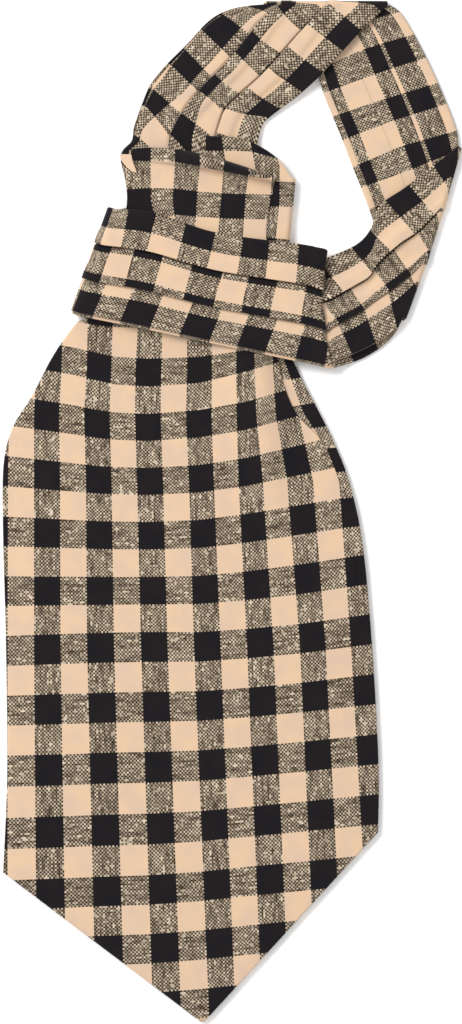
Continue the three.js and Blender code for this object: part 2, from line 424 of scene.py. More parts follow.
@dataclass(frozen=True)
class CheckedCotton:
    """Plain-woven cotton gingham in black and cream, dyed in the yarn, with slubs in both yarns."""

    cream: str = "#cfb193"
    cream_cool: str = "#c6ac95"
    black: str = "#131115"
    black_warm: str = "#1a1517"
    # The dull end of the cream dots is partly thin yarn and partly painted shade: it darkens a cream
    # dot for the shade that falls between round threads.
    cream_dot_thin_and_shaded: str = "#4b3d2f"  # a cream dot between black ones, where its yarn is thinnest
    yarn_bright: str = "#d0bfa7"  # and where it is thickest
    shadow_deep: str = "#0c0805"  # a black dot between cream ones
    shadow_thin: str = "#49392b"  # and where cream shows through it
    warp_threads: float = 15.0  # in a square of 10.8 mm, half as many as are real, so that they show
    weft_threads: float = 16.0
    slubs: float = 1.3  # thick and thin places in the length of one square
    slub_range: Pair = (0.34, 0.66)  # the noise where the yarn is thinnest and thickest
    yarn_shift: float = 1.7  # how far apart in the noise two neighbouring yarns are
    weft_shift: float = 9.0  # the same, for warp and weft
    clouds: float = 1.3  # soft changes of tint in the length of one square
    cloud_range: Pair = (0.36, 0.64)
    speck: float = 0.4  # how much of a dot's brightness is its own and not its yarn's
    missed: float = 0.08  # share of dark dots that a cream yarn covers
    relief: float = 0.1  # strength of the weave's bumps
    relief_depth: float = 0.2  # their depth in millimetres
    roughness: float = 0.9
    specular: float = 0.12
    sheen: float = 0.06

    def material(self) -> bpy.types.Material:
        """Builds the cloth's material.

        Matt cotton: squares with finely toothed edges, where solid cream and solid black meet
        squares of cream and black dots, which the uneven yarn makes lively and streaky and painted
        shade between the round threads makes darker.

        Returns:
            The material.
        """
        made = bpy.data.materials.new("plain_woven_gingham_cotton")
        made.use_nodes = True
        tree = made.node_tree
        tree.nodes.clear()

        def add(
            kind: str, sockets: dict[int | str, object], out: int = 0, **settings: object
        ) -> bpy.types.NodeSocket | None:
            """Adds a node.

            Args:
                kind: its type, after "ShaderNode".
                sockets: a value or a link for its inputs, by number or name.
                out: which output to return.
                **settings: its own options.

            Returns:
                The output, or None where the node has none.
            """
            node = tree.nodes.new("ShaderNode" + kind)
            for name, value in settings.items():
                setattr(node, name, value)
            for name, value in sockets.items():
                if isinstance(value, bpy.types.NodeSocket):
                    tree.links.new(value, node.inputs[name])
                else:
                    node.inputs[name].default_value = value
            return node.outputs[out] if node.outputs else None

        # Both ways alike: every second stripe is black, and slubs run along each yarn.
        where = add("UVMap", {}, uv_map=CHECK_MAP)
        check = [add("SeparateXYZ", {0: where}, out=axis) for axis in (0, 1)]
        yarns, blacks, slubs = [], [], []
        for axis, threads in enumerate((self.warp_threads, self.weft_threads)):
            yarn = add("Math", {0: check[axis], 1: threads}, operation="MULTIPLY")
            yarn = add("Math", {0: yarn}, operation="FLOOR")
            stripe = add("Math", {0: yarn, 1: 2 * threads}, operation="FLOORED_MODULO")
            blacks.append(add("Math", {0: stripe, 1: threads - 0.5}, operation="LESS_THAN"))
            beside = add("Math", {0: yarn, 1: self.yarn_shift}, operation="MULTIPLY")
            length = add("Math", {0: check[1 - axis], 1: self.slubs}, operation="MULTIPLY")
            place = add("CombineXYZ", {axis: beside, 1 - axis: length, 2: axis * self.weft_shift})
            slubs.append(add("TexNoise", {"Vector": place, "Scale": 1.0, "Detail": 1.0}))
            yarns.append(yarn)

        # Each yarn goes over one and under one.
        warp_black, weft_black = blacks
        crossing = add("Math", {0: yarns[0], 1: yarns[1]}, operation="ADD")
        parity = add("Math", {0: crossing, 1: 2.0}, operation="FLOORED_MODULO")
        warp_over = add("Math", {0: parity, 1: 0.5}, operation="LESS_THAN")
        over_black = add("Mix", {0: warp_over, 2: weft_black, 3: warp_black}, data_type="FLOAT")
        difference = add("Math", {0: warp_black, 1: weft_black}, operation="SUBTRACT")
        mixed = add("Math", {0: difference}, operation="ABSOLUTE")
        both_black = add("Math", {0: warp_black, 1: weft_black}, operation="MULTIPLY")

        # A dot is as bright as its yarn is thick there, with a brightness of its own besides; its
        # colours, below, also hold painted shade.
        slub = add("Mix", {0: weft_black, 2: slubs[0], 3: slubs[1]}, data_type="FLOAT")
        thinnest, thickest = self.slub_range
        wide_slub = add("MapRange", {0: slub, 1: thinnest, 2: thickest})
        dot = add("CombineXYZ", {0: yarns[0], 1: yarns[1]})
        own = add("TexWhiteNoise", {0: dot}, noise_dimensions="2D")
        vigour = add("Mix", {0: self.speck, 2: wide_slub, 3: own}, data_type="FLOAT")

        # Here and there a cream yarn covers the dark dot that the weave should show.
        chance = add("TexWhiteNoise", {0: dot}, out=1, noise_dimensions="2D")
        chance = add("SeparateColor", {0: chance}, out=2)
        covered = add("Math", {0: chance, 1: self.missed}, operation="LESS_THAN")
        open_dot = add("Math", {0: 1.0, 1: covered}, operation="SUBTRACT")
        shown_dark = add("Math", {0: over_black, 1: open_dot}, operation="MULTIPLY")

        # The dyed colours drift a little in soft clouds.
        tint = {"out": 2, "data_type": "RGBA"}
        drift = add("TexNoise", {"Vector": where, "Scale": self.clouds, "Detail": 3.0})
        low, high = self.cloud_range
        cloud = add("MapRange", {0: drift, 1: low, 2: high})
        cream = add("Mix", {0: cloud, 6: linear(self.cream), 7: linear(self.cream_cool)}, **tint)
        black = add("Mix", {0: cloud, 6: linear(self.black), 7: linear(self.black_warm)}, **tint)
        # Painted shade: the dots of mixed squares are darker than the solid squares of their yarns,
        # for the shade between round threads.
        bright_ends = {6: linear(self.cream_dot_thin_and_shaded), 7: linear(self.yarn_bright)}
        bright = add("Mix", {0: vigour} | bright_ends, **tint)
        dark_ends = {6: linear(self.shadow_deep), 7: linear(self.shadow_thin)}
        dark = add("Mix", {0: vigour} | dark_ends, **tint)
        dots = add("Mix", {0: shown_dark, 6: bright, 7: dark}, **tint)
        solid = add("Mix", {0: both_black, 6: cream, 7: black}, **tint)
        colour = add("Mix", {0: mixed, 6: solid, 7: dots}, **tint)

        height = add("Math", {0: warp_over, 1: slub}, operation="ADD")
        depth = self.relief_depth * MM
        bump = add("Bump", {"Strength": self.relief, "Distance": depth, "Height": height})
        surface = add(
            "BsdfPrincipled",
            {
                "Base Color": colour,
                "Normal": bump,
                "Roughness": self.roughness,
                "IOR": 1.5,
                "Specular IOR Level": self.specular,
                "Sheen Weight": self.sheen,
                "Sheen Roughness": 0.5,
            },
        )
        add("OutputMaterial", {0: surface})
        return made


@dataclass(frozen=True)
class WhiteBoard:
    """Matt white painted board, which takes soft shadows and hardly any gloss."""

    colour: str = "#ffffff"
    roughness: float = 0.9
    specular: float = 0.1

    def material(self) -> bpy.types.Material:
        """Builds the board's material.

        Returns:
            The material.
        """
        made = bpy.data.materials.new("matt_white_board")
        made.use_nodes = True
        shader = made.node_tree.nodes["Principled BSDF"]
        shader.inputs["Base Color"].default_value = linear(self.colour)
        shader.inputs["Roughness"].default_value = self.roughness
        shader.inputs["Specular IOR Level"].default_value = self.specular
        return made


@dataclass
class ClothPiece:
    """A piece of folded cloth, lofted through cross sections that stand on stations.

    Attributes:
        name: the piece's name.
        replaces: the CAD node that it stands for.
        finish: its material.
        wall: thickness of the cloth that the mesh gets, or 0 for a closed pouch.
    """

    name: str
    replaces: str
    finish: bpy.types.Material
    wall: float = 0.0

    def loft(
        self,
        mesh: bmesh.types.BMesh,
        columns: int,
        stations: int,
        place: Callable[[int, int], tuple[Vector, Pair]],
    ) -> None:
        """Adds a grid to a mesh and carries it to its place.

        Args:
            mesh: the mesh that grows.
            columns: points across.
            stations: points along.
            place: gives a point in millimetres and its check counts for a column and a station.
        """
        layer = mesh.loops.layers.uv.get(CHECK_MAP) or mesh.loops.layers.uv.new(CHECK_MAP)
        grid = bmesh.ops.create_grid(mesh, x_segments=columns - 1, y_segments=stations - 1, size=0.5)
        counts = {}
        faces = set()
        for vert in grid["verts"]:
            column = round((vert.co.x + 0.5) * (columns - 1))
            station = round((vert.co.y + 0.5) * (stations - 1))
            point, check = place(column, station)
            vert.co = point * MM
            counts[vert] = check
            faces.update(vert.link_faces)
        for face in faces:
            face.smooth = True
            for loop in face.loops:
                loop[layer].uv = counts[loop.vert]

    def finished(self, mesh: bmesh.types.BMesh) -> bpy.types.Object:
        """Closes a mesh, makes it an object and dresses it.

        Args:
            mesh: the cloth, freed here.

        Returns:
            The object, riding on the tie and standing for its CAD node.
        """
        bmesh.ops.remove_doubles(mesh, verts=mesh.verts, dist=SAME_POINT * MM)
        if not self.wall:
            bmesh.ops.holes_fill(mesh, edges=[edge for edge in mesh.edges if edge.is_boundary])
        bmesh.ops.recalc_face_normals(mesh, faces=mesh.faces)
        data = bpy.data.meshes.new(self.name)
        mesh.to_mesh(data)
        mesh.free()
        data.materials.append(self.finish)
        piece = bpy.data.objects.new(self.name, data)
        bpy.context.scene.collection.objects.link(piece)
        if self.wall:
            cloth = piece.modifiers.new("cloth", "SOLIDIFY")
            cloth.thickness = self.wall * MM
            cloth.offset = 0.0
            cloth.use_rim = True
        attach(piece, "root")
        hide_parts(self.replaces)
        return piece


@dataclass
class NeckBand(ClothPiece):
    """The pleated neck band: a flat tube of cloth with two long pleats on its good side.

    Attributes:
        tables: the sections of each limb.
        rulers: what counts the squares along each limb, for each visible strip.
        squares: for each limb the squares of the check where its three visible strips start
            and end, and the one at the rim of its back layer.
        opened_squares: the same where the second pleat has come open.
        steps: sections from one row of a limb's table to the next.
        turn_steps: sections in a turn from one limb to the next.
        flat: the size of one layer cut flat, in metres; not used.
        wall: thickness of one layer of the cotton.
        half_wall: the band's mid surface to the middle of its outer layers.
        pleat_gap: between the layers of a pleat.
        band_width: of the folded band, over which a ruler for all strips is read.
        square: the side of a square of the check at the rim.
        ripple: the most that the cloth lies off its bed in soft ripples.
        ripple_pitch: ripples in a millimetre.
        hidden: how far each pleat runs under the strip over it.
        dips: how far each visible strip sinks where it comes out under the one before.
        dip_curve: the way it rises again, as distances and shares of the dip.
        flat_sink: how much lower the good side lies where its pleats are pressed flat.
        flat_gap: between the layers of such a pleat.
        opened_sink: how much less the second pleat stands up where it has come open.
        seam_lines: the lap seam on the reverse and the edges of the stripe beside it, as shares
            of the width from edge b.
        crease_lines: the edges of the reverse's other stripes and its crease, as shares of the
            width from edge a.
        tuck_turns: where in the tuck the check changes from the lower limb's to the cross band's.
    """

    tables: dict[Limb, list[Row]] = field(default_factory=dict)
    rulers: dict[Limb, tuple[WeftRuler, ...]] = field(default_factory=dict)
    squares: dict[Limb, tuple[float, ...]] = field(
        default_factory=lambda: {
            Limb.LEFT: (0.3, 1.75, 3.0, 4.45, 5.55, 7.0, 8.1),
            Limb.RIGHT: (0.3, 1.75, 3.0, 4.45, 5.55, 7.0, 7.15),
            # The lower limb's rim count puts black and mixed squares on the back layer's rim, as
            # painted shade under the lip.
            Limb.LOWER: (0.25, 1.8, 2.9, 4.31, 5.5, 7.0, 6.85),
            Limb.CROSS: (0.18, 1.8, 2.68, 4.31, 5.47, 7.0, 7.15),
            Limb.WRAP: (0.18, 1.8, 2.68, 4.31, 5.47, 7.0, 7.15),
        }
    )
    opened_squares: tuple[float, ...] = (0.3, 1.75, 3.0, 5.0, 5.0, 6.15, 8.1)
    steps: dict[Limb, int] = field(
        default_factory=lambda: {
            Limb.LEFT: 9,
            Limb.RIGHT: 8,
            Limb.LOWER: 11,
            Limb.TUCK: 5,
            Limb.CROSS: 13,
            Limb.WRAP: 4,
        }
    )
    turn_steps: int = 12
    flat: Pair = (0.118, 0.62)
    wall: float = 0.35
    half_wall: float = 0.8
    pleat_gap: float = 0.6
    band_width: float = 50.0
    square: float = 10.3
    ripple: float = 0.35
    ripple_pitch: float = 0.045
    hidden: Pair = (5.0, 6.0)
    dips: tuple[float, float, float] = (0.0, 1.2, 0.5)
    dip_curve: tuple[Pair, ...] = ((0.0, 1.0), (0.75, 0.95), (1.1, 0.1))
    flat_sink: float = 0.4
    flat_gap: float = 0.2
    opened_sink: float = 0.7
    seam_lines: tuple[float, ...] = (0.349, 0.308, 0.085)
    crease_lines: tuple[float, ...] = (0.055, 0.162, 0.381, 0.502)
    tuck_turns: Pair = (0.3, 0.62)

    def section(self, station: Station) -> list[Knot]:
        """Lays out the folded cloth across the band, once round from the lap seam.

        Args:
            station: where the section is.

        Returns:
            Its knots, in order.
        """
        row = station.row
        here, there = self.squares[station.limb], self.squares[station.onto]
        squares = [mix(p, q, station.turned) for p, q in zip(here, there)]
        squares = [mix(p, q, row.opened) for p, q in zip(squares, self.opened_squares)]
        base = self.half_wall - self.flat_sink * (1.0 - row.pleat)
        knots = self.reverse_from_seam(row, base, squares[0])
        knots += self.good_side(row, base, squares)
        knots += self.rim(row, base, squares)
        knots += self.reverse_to_seam(row)
        return [knot._replace(height=knot.height * row.press) for knot in knots]

    def reverse_from_seam(self, row: Row, base: float, count: float) -> list[Knot]:
        """Lays out the reverse from under the lap seam to edge b, and the turn round it.

        Args:
            row: the section.
            base: the height of the good side.
            count: the square that the good side starts with.

        Returns:
            The knots, in order.
        """
        # Counts below 0 are squares of the reverse, before edge b.
        back = -self.half_wall
        seam, stripe_end, stripe = (row.width * share for share in self.seam_lines)
        lapped = [(seam + 4.0, back + 0.4), (seam + 1.5, back + 0.38)]
        sliver = [(seam + 0.3, back + 0.3), (seam - 0.3, back + 0.2)]
        sliver += [(stripe_end + 0.5, back + 0.03), (stripe_end, back)]
        plain = [(mix(stripe_end, stripe, i / 5), back) for i in range(1, 6)]
        border = [(0.9 * stripe, back), (1.6, back), (self.half_wall, back)]
        knots = spread(lapped, (-2.5, -2.3)) + spread(sliver, (-2.19, -2.0))
        knots += spread(plain, (-1.8, -1.0)) + spread(border, (-0.96, -0.68))
        radius, centre = (base - back) / 2, (base + back) / 2
        for i in range(1, 6):
            angle = math.pi * i / 6
            along = radius - radius * math.sin(angle)
            turned = mix(-0.64, count, min(i / 3.5, 1.0))
            knots.append(Knot(along, centre - radius * math.cos(angle), turned))
        return knots

    def good_side(self, row: Row, base: float, squares: list[float]) -> list[Knot]:
        """Lays out the three strips of the good side, each lying on the next.

        Args:
            row: the section.
            base: the height of a strip that nothing lies on.
            squares: the squares where the strips start and end.

        Returns:
            The knots, in order.
        """
        edges = ((base + self.half_wall) / 2, row.first * row.width, row.second * row.width)
        rises = (row.stand, 1.0 - self.opened_sink * row.opened)
        knots = []
        for strip, rise in enumerate(rises):
            points, turns = self.pleat(row, base, strip, rise, (edges[strip], edges[strip + 1]))
            first, last, after = squares[2 * strip : 2 * strip + 3]
            knots += spread(points, (first, last), strip, (0.0, 1.0))
            for i, (along, height) in enumerate(turns, 1):
                count = mix(last, after, i / (len(turns) + 1))
                knots.append(Knot(along, height, count, strip + 1))
        strip, start, end = len(rises), edges[-1], row.width - row.peek
        points = self.coming_out(row, base, strip, start)
        points += [(mix(start + 1.4, end - 0.3, i / 9), base) for i in range(10)]
        first, last = squares[2 * strip : 2 * strip + 2]
        return knots + spread(points, (first, last - 0.03), strip, (0.0, 1.0))

    def coming_out(self, row: Row, base: float, strip: int, start: float) -> list[Place]:
        """Returns the first points of a strip, where it comes out under the one before."""
        dip = self.dips[strip] * row.pleat
        return [(start + away, base - share * dip) for away, share in self.dip_curve]

    def pleat(
        self, row: Row, base: float, strip: int, stand: float, edges: Pair
    ) -> tuple[list[Place], list[Place]]:
        """Lays out a strip that ends in a pleat, and the cloth folded away under it.

        Args:
            row: the section.
            base: the height of a strip that nothing lies on.
            strip: which visible strip it is.
            stand: how far the pleat's edge stands up.
            edges: where the strip starts and ends.

        Returns:
            The points of the strip, and the points from its edge back to the next strip.
        """
        start, end = edges
        gap = mix(self.flat_gap, self.pleat_gap, row.pleat)
        top, middle = base + 2 * gap * stand, base + gap * stand
        inner = end - self.hidden[strip] * mix(0.5, 1.0, row.pleat)
        foot = inner - 3.0
        points = self.coming_out(row, base, strip, start)
        points += [(mix(start + 1.4, foot, i / 5), base) for i in range(6)]
        points += [(foot + 1.0, mix(base, top, 0.22)), (foot + 2.0, mix(base, top, 0.7))]
        points += [(inner, top - 0.06)]
        points += [(mix(inner, end, share), top) for share in (0.25, 0.5, 0.75, 0.9)]
        points += [(end - 0.12, top), (end - 0.03, top - 0.06)]
        turns = [(end, mix(top, middle, 0.5)), (end - 0.05, middle + 0.06), (end - 0.2, middle)]
        turns += [(mix(end, inner, 0.5), middle), (inner + 0.3, middle)]
        turns += [(inner + 0.1, mix(middle, base, 0.5))]
        dip = self.dips[strip + 1] * row.pleat
        turns += [(inner + 0.3, base), (mix(inner, end, 0.5), base)]
        turns += [(end - 0.8, base - 0.1 * dip), (end - 0.3, base - 0.9 * dip)]
        return points, turns

    def rim(self, row: Row, base: float, squares: list[float]) -> list[Knot]:
        """Lays out edge a: the front layer turns in, and the back layer shows beyond it.

        Args:
            row: the section.
            base: the height of the front layer.
            squares: the last two are those at the end of the front layer and at the rim.

        Returns:
            The knots, in order.
        """
        width = row.width
        front = width - row.peek
        lip = [(front - 0.1, base - 0.06), (front, base - 0.2), (front - 0.1, base - 0.36)]
        lip += [(front - 0.5, base - 0.42), (front - 1.3, base - 0.5)]
        lip += [(front - 1.35, 0.1), (front - 1.0, -0.12)]
        under = [(front, -0.18), (width - 0.4, -0.2), (width - 0.1, -0.3), (width, -0.48)]
        under += [(width - 0.1, -0.68), (width - 0.5, -self.half_wall)]
        knots = []
        for i, (along, height) in enumerate(lip):
            knots.append(Knot(along, height, squares[-2] + 0.02 * i, 2, 1.0))
        for i, (along, height) in enumerate(under):
            count = squares[-1] - max(width - along, 0.0) / self.square + 0.03 * i
            knots.append(Knot(along, height - row.droop, count, 2, 1.0))
        return knots

    def reverse_to_seam(self, row: Row) -> list[Knot]:
        """Lays out the reverse, from edge a to the fold of the lap seam.

        Args:
            row: the section.

        Returns:
            The knots, in order.
        """
        # The counts go on beyond edge a, and leap where cloth is hidden in a crease.
        width, back = row.width, -self.half_wall
        low = back - row.droop
        line, stripe, crease, end = (width * (1 - share) for share in self.crease_lines)
        lap = self.seam_lines[0] * width
        rolled = [(width - 1.0, low), (line + 0.3, low), (line + 0.1, low + 0.12)]
        facing = [(line - 0.1, low + 0.12), (line - 0.3, low), (mix(line, stripe, 0.5), back)]
        facing += [(stripe, back)]
        to_crease = [(mix(stripe, crease, share), back) for share in (0.33, 0.66)]
        to_crease += [(crease + 0.12, back - 0.05)]
        to_end = [(crease - 0.05, back - 0.02)]
        to_end += [(mix(crease, end, share), back) for share in (0.33, 0.66, 1.0)]
        black_end = [(mix(end, lap, share), back - 0.02) for share in (0.25, 0.5, 0.75, 0.95)]
        tucked = [(lap, back + 0.04), (lap + 0.3, back + 0.14), (lap + 3.0, back + 0.16)]
        knots = spread(rolled, (7.32, 7.48), 2, (1.0, 0.9))
        knots += spread(facing, (8.52, 9.0), 2, (0.9, 0.8))
        knots += spread(to_crease, (9.3, 9.92), 2, (0.7, 0.6))
        knots += spread(to_end, (11.5, 12.0), 2, (0.5, 0.4))
        knots += spread(black_end, (12.16, 12.62), 2, (0.3, 0.0))
        return knots + spread(tucked, (12.65, 12.9), 2)

    def stations(self) -> list[Station]:
        """Lays out every section of the band.

        Returns:
            The sections, from the tail in the knot round the loop and back to the knot.
        """
        rows = {limb: between(table, self.steps[limb]) for limb, table in self.tables.items()}
        folds = {Limb.RIGHT: 1.0, Limb.LOWER: -1.0, Limb.WRAP: 1.0}
        made = []
        last = Limb.LEFT
        for limb in Limb:
            if limb in folds:
                turn = half_turn(rows[last][-1], rows[limb][0], folds[limb], self.turn_steps)
                for i, row in enumerate(turn, 1):
                    made.append(Station(row, last, limb, i / self.turn_steps))
            if limb is Limb.TUCK:
                for i, row in enumerate(rows[limb][1:], 1):
                    turned = ramp(i / len(rows[limb]), *self.tuck_turns)
                    made.append(Station(row, last, Limb.CROSS, turned))
            else:
                made += [Station(row, limb, limb) for row in rows[limb]]
            last = limb
        return made

    def build(self) -> bpy.types.Object:
        """Returns:
            The band.
        """
        stations = self.stations()
        rows = [station.row for station in stations]
        sections = [self.section(station) for station in stations]
        pattern = sections[0]
        readings = {}
        for limb in self.rulers:
            readings[limb] = [self.ruler_column(limb, knot) for knot in pattern]

        def place(column: int, index: int) -> tuple[Vector, Pair]:
            """Places a point of the band.

            Args:
                column: which knot of its section it is.
                index: which station it is at.

            Returns:
                The point in millimetres, and its check counts.
            """
            station = stations[index]
            knot = sections[index][column]
            share = knot.along / station.row.width
            spot = station.row.place(share)
            count = WeftRuler.count(readings[station.limb][column], spot.xy)
            if station.turned:
                other = WeftRuler.count(readings[station.onto][column], spot.xy)
                count = mix(count, other, station.turned)
            lift = self.ripple * (0.5 + 0.5 * noise.noise(spot * self.ripple_pitch))
            point = raised(rows, index, share, knot.height) + Vector((0.0, 0.0, lift))
            return point, (knot.count, count)

        mesh = bmesh.new()
        self.loft(mesh, len(pattern), len(stations), place)
        piece = self.finished(mesh)
        return piece

    def ruler_column(self, limb: Limb, knot: Knot) -> list[tuple[float, Vector]]:
        """Reads a limb's rulers for one column of points.

        Args:
            limb: the limb.
            knot: the column's place in a section.

        Returns:
            The counts and places of the ruler's lines there.
        """
        rulers = self.rulers[limb]
        if len(rulers) == 1:
            return rulers[0].column(min(max(knot.along / self.band_width, 0.0), 1.0))
        return rulers[knot.strip].column(knot.share)


@dataclass(frozen=True)
class Flap:
    """A strip of the front blade's cloth that shows beside the knot.

    Attributes:
        limbs: its sections, in runs that are a fold apart.
        thick: its layers together.
        grid: where the check lies on it.
        steps: sections from one row to the next.
        turn_steps: sections in a turn from one run to the next.
    """

    limbs: tuple[tuple[Row, ...], ...]
    thick: float
    grid: CheckGrid
    steps: int = 5
    turn_steps: int = 10

    def stations(self) -> list[Row]:
        """Lays out its sections, with the turns between its runs.

        Returns:
            The sections from end to end.
        """
        made = []
        for limb in self.limbs:
            rows = between(list(limb), self.steps)
            if made:
                made += half_turn(made[-1], rows[0], -1.0, self.turn_steps)
            made += rows
        return made

    def section(self) -> list[Place]:
        """Lays out a section, once round.

        Returns:
            For each point its share of the width and its height.
        """
        steps, steep = 24, 12
        over = []
        for i in range(steps + 1):
            share = 0.5 - 0.5 * math.cos(math.pi * i / steps)
            full = min(1.0, steep * share, steep * (1 - share)) ** 0.5
            over.append((share, self.thick / 2 * full))
        return over + [(share, -height) for share, height in reversed(over[:-1])]


@dataclass(frozen=True)
class Crest:
    """A soft rise of the cloth, which runs down from the knot and fades out.

    Attributes:
        start: where it leaves the knot.
        end: where it has faded out.
        height: how high it stands at the knot.
        left: how far it spreads on its left.
        right: the same on its right, which is steeper.
        band: where it sinks again, under the cross band.
        fading: where it starts and ends to fade, as shares of its length.
    """

    start: Place = (11.0, 63.0)
    end: Place = (21.0, -30.0)
    height: float = 3.3
    left: float = 17.0
    right: float = 6.5
    band: Pair = (72.0, 88.0)
    fading: Pair = (0.2, 1.0)

    def rise(self, x: float, y: float) -> float:
        """Finds how much higher the cloth lies at a place.

        Args:
            x: the place, in millimetres.
            y: the same.

        Returns:
            The height that the crest adds.
        """
        (top_x, top_y), (end_x, end_y) = self.start, self.end
        share = min(max((top_y - y) / (top_y - end_y), 0.0), 1.0)
        beside = x - mix(top_x, end_x, share)
        reach = self.left if beside < 0 else self.right
        fade = (1.0 - ramp(share, *self.fading)) * (1.0 - ramp(y, *self.band))
        return self.height * fade * math.exp(-((beside / reach) ** 2))


@dataclass
class Blade(ClothPiece):
    """A pointed blade: two layers of cloth sewn round their edges, pressed flat.

    Attributes:
        rows: its sections, from the knot down to the shoulders of the point.
        tip: the point.
        grid: where the check lies on it.
        margin: the same, for the strip beyond the soft fold.
        knot_grid: the same, for the part above the knot.
        knot_from: how far up that part starts, hidden by the cross band.
        flaps: more of the same cloth, beside the knot.
        crest: the soft rise below the knot.
        tip_width: how blunt the point is.
        spacing: the most between two sections.
        flat: the size of one layer cut flat, in metres; not used.
        cut_area: the area of one layer, in square metres; not used.
        rests_on: the CAD nodes that it lies on; not used.
        ripple: how high its soft ripples stand.
        ripple_pitch: ripples in a millimetre.
        ripple_edge: the share of the width over which they fade at each side.
        ripple_place: where in the noise they are read.
        fold_drop: how much lower the margin lies than the fold over it.
        fold_full: how much cloth the fold hides where it is fully formed.
        fold_least: the least that it hides where the margin has a check of its own.
        roll_rise: where across the blade the roll starts to rise, and where it is full.
        arch: below 1 where the sections arch highest on the left of their middle.
    """

    rows: list[BladeRow] = field(default_factory=list)
    tip: Place = (0.0, 0.0)
    grid: CheckGrid | None = None
    margin: CheckGrid | None = None
    knot_grid: CheckGrid | None = None
    knot_from: float = 94.0
    flaps: tuple[Flap, ...] = ()
    crest: Crest | None = None
    tip_width: float = 1.6
    spacing: float = 2.6
    flat: Pair = (0.16, 0.37)
    cut_area: float | None = None
    rests_on: tuple[str, ...] = ()
    ripple: float = 0.25
    ripple_pitch: float = 0.03
    ripple_edge: float = 0.12
    ripple_place: tuple[float, float, float] = (3.1, 7.7, 0.0)
    fold_drop: float = 0.8
    fold_full: float = 2.5
    fold_least: float = 0.05
    roll_rise: Pair = (0.1, 0.6)
    arch: float = 0.75

    def stations(self) -> list[BladeRow]:
        """Lays out the sections, closer together than the rows.

        Returns:
            The sections, from the knot on down to the point.
        """
        made = []
        for index in range(len(self.rows) - 1):
            first, second = self.rows[index], self.rows[index + 1]
            apart = math.hypot(second.ax - first.ax, second.ay - first.ay)
            steps = max(3, round(apart / self.spacing))
            for step in range(steps):
                made.append(BladeRow(*curve_between(self.rows, index, step / steps)))
        last = self.rows[-1]
        x, y = self.tip
        end = last._replace(ax=x - self.tip_width / 2, ay=y, bx=x + self.tip_width / 2, by=y)
        steps = round((last.ay - y) / self.spacing)
        for step in range(steps + 1):
            made.append(BladeRow(*(mix(p, q, step / steps) for p, q in zip(last, end))))
        return made

    def section(self, row: BladeRow, body: float) -> list[Knot]:
        """Lays out the two layers across the blade.

        Args:
            row: where the section is.
            body: how far the section has opened from a closed end, from 0 to 1.

        Returns:
            The points from the left edge over the good side to the right edge, and back under.
            Strip 0 is the main part, 1 the margin beyond the fold, 2 the underside.
        """
        width = row.width
        half = row.thick / 2 * body
        edge = min(half, width / 4)
        tuck = min(row.tuck, width / 6)
        fold = width - min(row.ridge, width / 3)
        drop = self.fold_drop * ramp(tuck, 0.0, self.fold_full) * body
        middle, base = half - drop / 2, half - drop
        over = [(edge * inset(angle), half * rounded(angle)) for angle in (0, 30, 60, 90)]
        over += [(mix(edge, fold - 1.2, i / 44), half) for i in range(1, 45)]
        over += [(fold - 0.6, half), (fold - 0.15, half - 0.05 * drop)]
        over += [(fold, mix(half, middle, 0.5)), (fold - 0.15, middle)]
        beyond = [(fold - tuck, middle), (fold - 1.05 * tuck, mix(middle, base, 0.5))]
        beyond += [(fold - 0.9 * tuck, base), (fold, base)]
        beyond += [(mix(fold, width - edge, i / 6), base) for i in range(1, 7)]
        centre, reach = (base - half) / 2, (base + half) / 2
        rim = min(edge, reach)
        for angle in (60, 30, 0, -30, -60):
            beyond.append((width - rim * inset(angle), centre + reach * rounded(angle)))
        under = [(mix(width - edge, edge, i / 20), -half) for i in range(21)]
        under += [(edge * inset(angle), half * rounded(angle)) for angle in (-60, -30, 0)]
        return [
            Knot(along, height, 0.0, strip)
            for strip, points in enumerate((over, beyond, under))
            for along, height in points
        ]

    def build(self) -> bpy.types.Object:
        """Returns:
            The blade.
        """
        mesh = bmesh.new()
        self.shape(mesh)
        piece = self.finished(mesh)
        return piece

    def shape(self, mesh: bmesh.types.BMesh) -> None:
        """Adds the blade and its flaps to a mesh.

        Args:
            mesh: the mesh that grows.
        """
        stations = self.stations()
        total = len(stations)
        sections = []
        for index, row in enumerate(stations):
            # The blade is closed at its ends, which are rounded over two sections.
            from_end = min(index, total - 1 - index)
            body = math.sqrt(1 - (1 - min((from_end + 0.1) / 2, 1.0)) ** 2)
            sections.append(self.section(row, body))

        def place(column: int, index: int) -> tuple[Vector, Pair]:
            """Places a point of the blade.

            Args:
                column: which knot of its section it is.
                index: which station it is at.

            Returns:
                The point in millimetres, and its check counts.
            """
            row = stations[index]
            knot = sections[index][column]
            share = knot.along / row.width
            x, y = mix(row.ax, row.bx, share), mix(row.ay, row.by, share)
            y += row.bow * math.sin(math.pi * max(share, 0.0) ** self.arch)
            rolled = ramp(share, *self.roll_rise)
            z = row.z + row.thick / 2 + row.lift * rolled + knot.height
            if knot.strip != 2:
                z += self.rise(x, y, share)
            check = self.grid_at(row, knot, y).counts(x, y + row.early * rolled)
            return Vector((x, y, z)), check

        self.loft(mesh, len(sections[0]), total, place)
        for flap in self.flaps:
            self.add_flap(mesh, flap)

    def rise(self, x: float, y: float, share: float) -> float:
        """Finds how far ripples and the crest lift the good side.

        Args:
            x: the place, in millimetres.
            y: the same.
            share: how far across the blade it is.

        Returns:
            The height that they add.
        """
        spot = Vector((x, y, 0.0)) * self.ripple_pitch + Vector(self.ripple_place)
        lift = self.ripple * (0.5 + noise.noise(spot))
        lift *= ramp(min(share, 1 - share), 0.0, self.ripple_edge)
        return lift + (self.crest.rise(x, y) if self.crest else 0.0)

